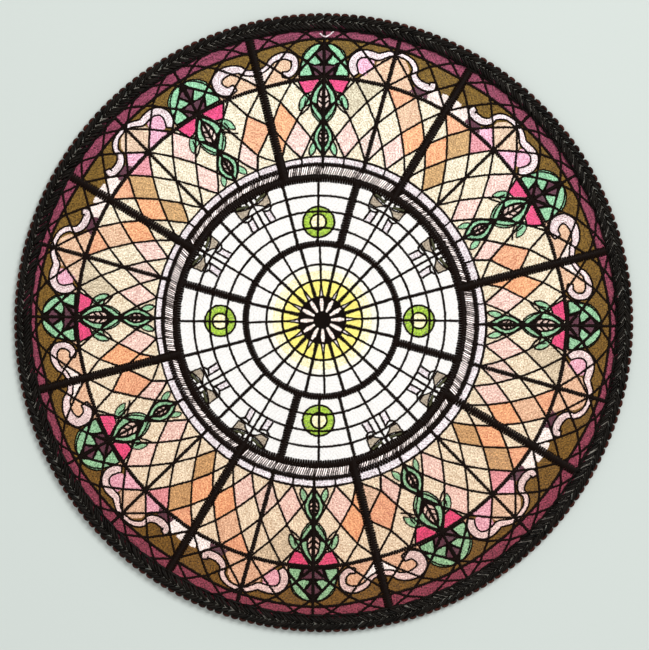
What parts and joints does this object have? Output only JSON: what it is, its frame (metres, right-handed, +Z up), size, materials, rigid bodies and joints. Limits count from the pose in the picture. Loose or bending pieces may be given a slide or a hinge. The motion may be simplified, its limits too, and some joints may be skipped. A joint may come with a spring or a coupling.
{
  "type": "embroidered roundel",
  "caption": "Flat round of machine-embroidered cloth picturing a leaded rose window, edged with a black scalloped braid; lies or is sewn on.",
  "frame": {"origin": "centre of the flat underside, on the surface that the roundel lies on", "axes": "+Z up through the stitched face; +Y towards the top of the picture as pictured"},
  "size_m": [0.212, 0.212, 0.004],
  "materials": {
    "ground_cloth": "woven cotton twill, matt",
    "white_thread": "rayon embroidery thread, satin",
    "silver_thread": "metallic-effect embroidery thread, satin",
    "cream_thread": "rayon embroidery thread, satin",
    "olive_thread": "rayon embroidery thread, satin",
    "black_thread": "rayon embroidery thread, satin",
    "braid": "plaited gimp braid, dull sheen"
  },
  "bodies": {
    "root": {"ground_cloth": "ground_cloth", "skylight_stitching": "white_thread", "silver_band_stitching": "silver_thread", "lattice_stitching": "cream_thread", "border_stitching": "olive_thread", "black_outline_stitching": "black_thread", "braid_edging": "braid"}
  },
  "joints": []
}
